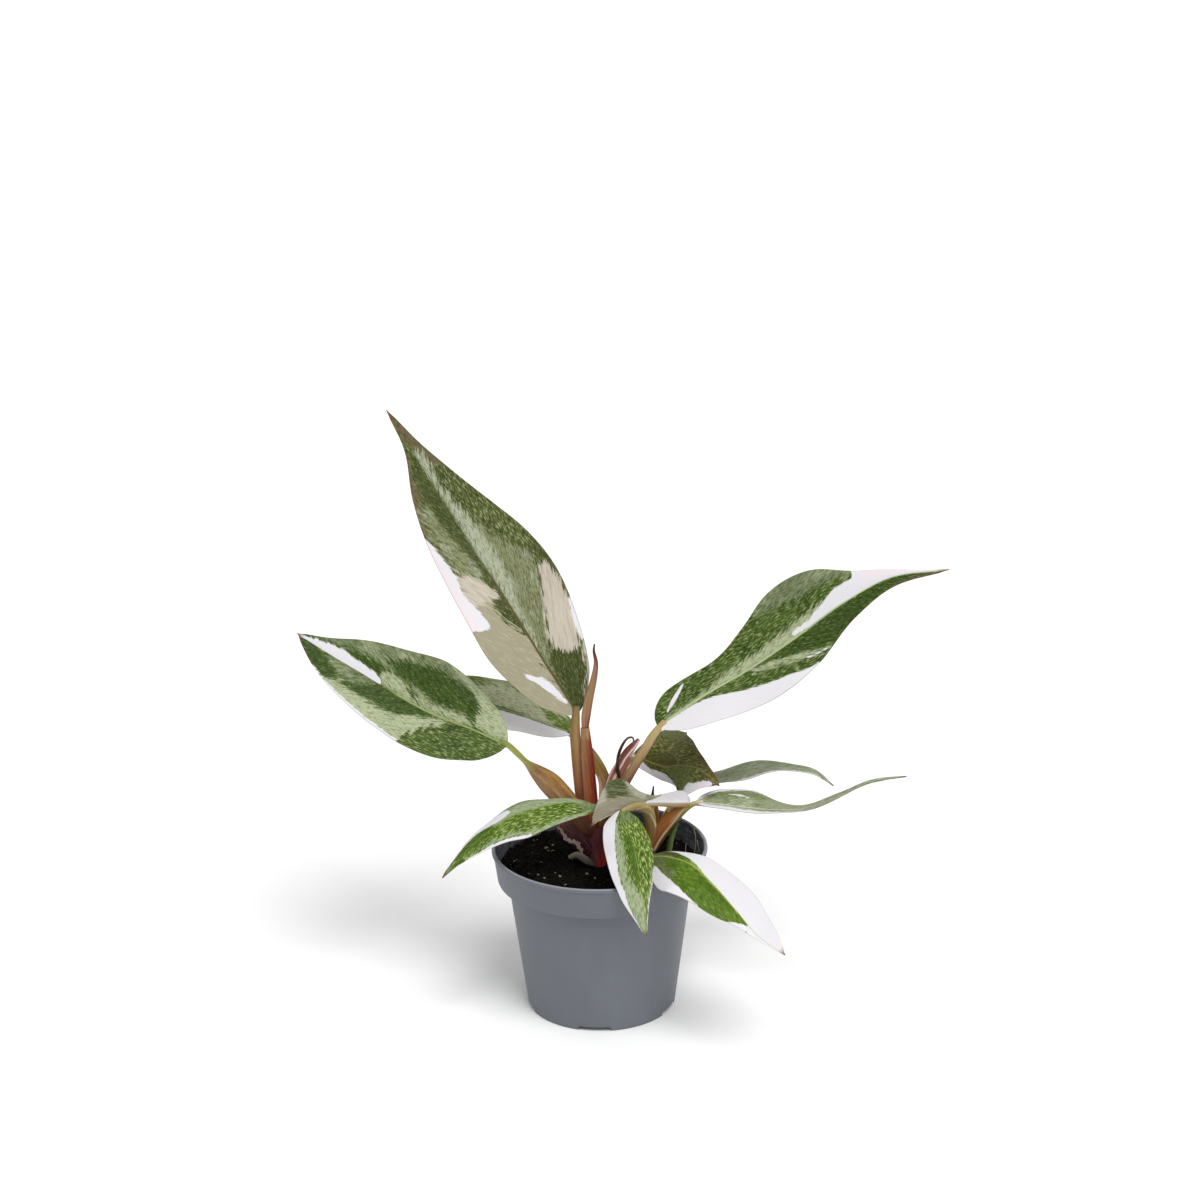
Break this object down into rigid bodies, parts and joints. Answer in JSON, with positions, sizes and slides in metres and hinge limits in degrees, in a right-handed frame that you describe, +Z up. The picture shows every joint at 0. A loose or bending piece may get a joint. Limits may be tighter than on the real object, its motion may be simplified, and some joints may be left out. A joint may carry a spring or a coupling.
{
  "type": "potted philodendron",
  "caption": "Small variegated philodendron with long pointed leaves, growing in potting soil in a round grey nursery pot.",
  "frame": {"origin": "centre of the pot's foot, on the surface it stands on", "axes": "+Z up out of the pot; +X to the right as the plant's broad side is seen from the front; the front is -Y"},
  "size_m": [0.3574, 0.1573, 0.3333],
  "materials": {
    "pot_plastic": "matte",
    "soil": "matte",
    "stem": "satin",
    "sheath": "satin",
    "dry_husk": "matte",
    "leaf": "satin"
  },
  "bodies": {
    "root": {"pot": "pot_plastic", "soil": "soil", "main_stem": "stem", "second_shoot": "stem", "green_sprout": "stem", "new_leaf_sheath": "sheath", "new_leaf_spear": "sheath", "right_sheath": "sheath", "old_sheath": "sheath", "dry_tendril": "dry_husk", "dry_scale": "dry_husk", "pointed_sheath": "sheath", "leaf_tall": "leaf", "leaf_left": "leaf", "leaf_right": "leaf", "leaf_back_left": "leaf", "leaf_back_centre": "leaf", "leaf_back_right": "leaf", "leaf_far_right": "leaf", "leaf_front_right": "leaf", "leaf_front": "leaf", "leaf_front_left": "leaf", "leaf_small": "leaf"}
  },
  "joints": []
}
